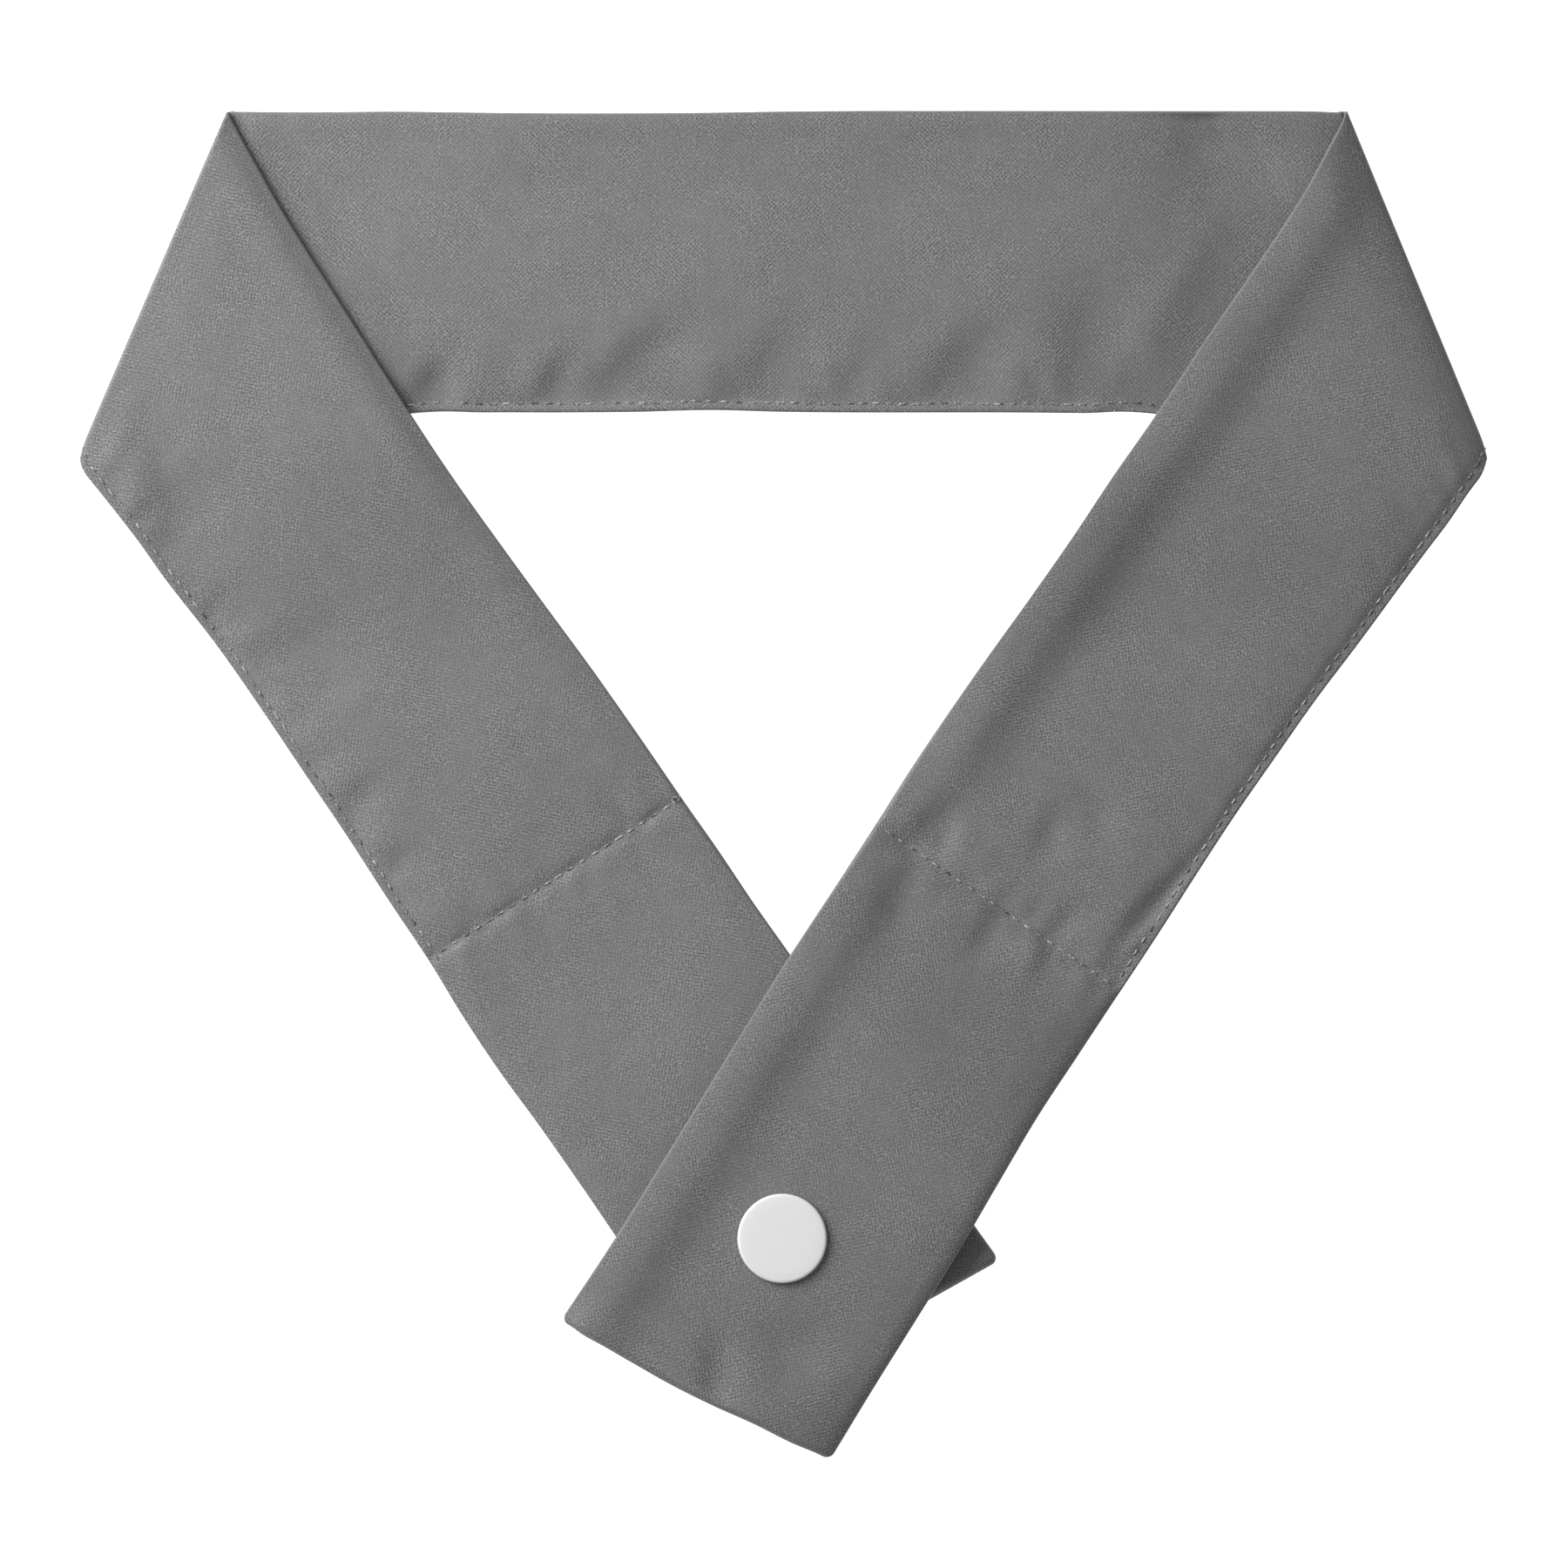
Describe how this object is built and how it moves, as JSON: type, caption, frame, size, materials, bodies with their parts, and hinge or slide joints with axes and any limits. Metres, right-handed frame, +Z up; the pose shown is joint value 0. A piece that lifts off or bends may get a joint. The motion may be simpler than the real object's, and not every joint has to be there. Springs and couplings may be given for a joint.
{
  "type": "cooling neck wrap",
  "caption": "Flat cloth tube folded into a triangular collar, lying flat, with its two tails crossed and held by a round plastic snap.",
  "frame": {"origin": "bottom centre of the bounding box, on the table that the wrap lies on", "axes": "+X to the right as seen from above, +Y from the snapped tails to the back band, +Z up from the table"},
  "size_m": [0.2343, 0.2257, 0.011],
  "materials": {
    "polyester_cloth": "fine woven grey polyester with a slight lustre",
    "snap_resin": "moulded white resin, satin"
  },
  "bodies": {
    "root": {"sleeve": "polyester_cloth", "snap_cap": "snap_resin", "snap_coupling": "snap_resin", "snap_back_cap": "snap_resin"}
  },
  "joints": []
}
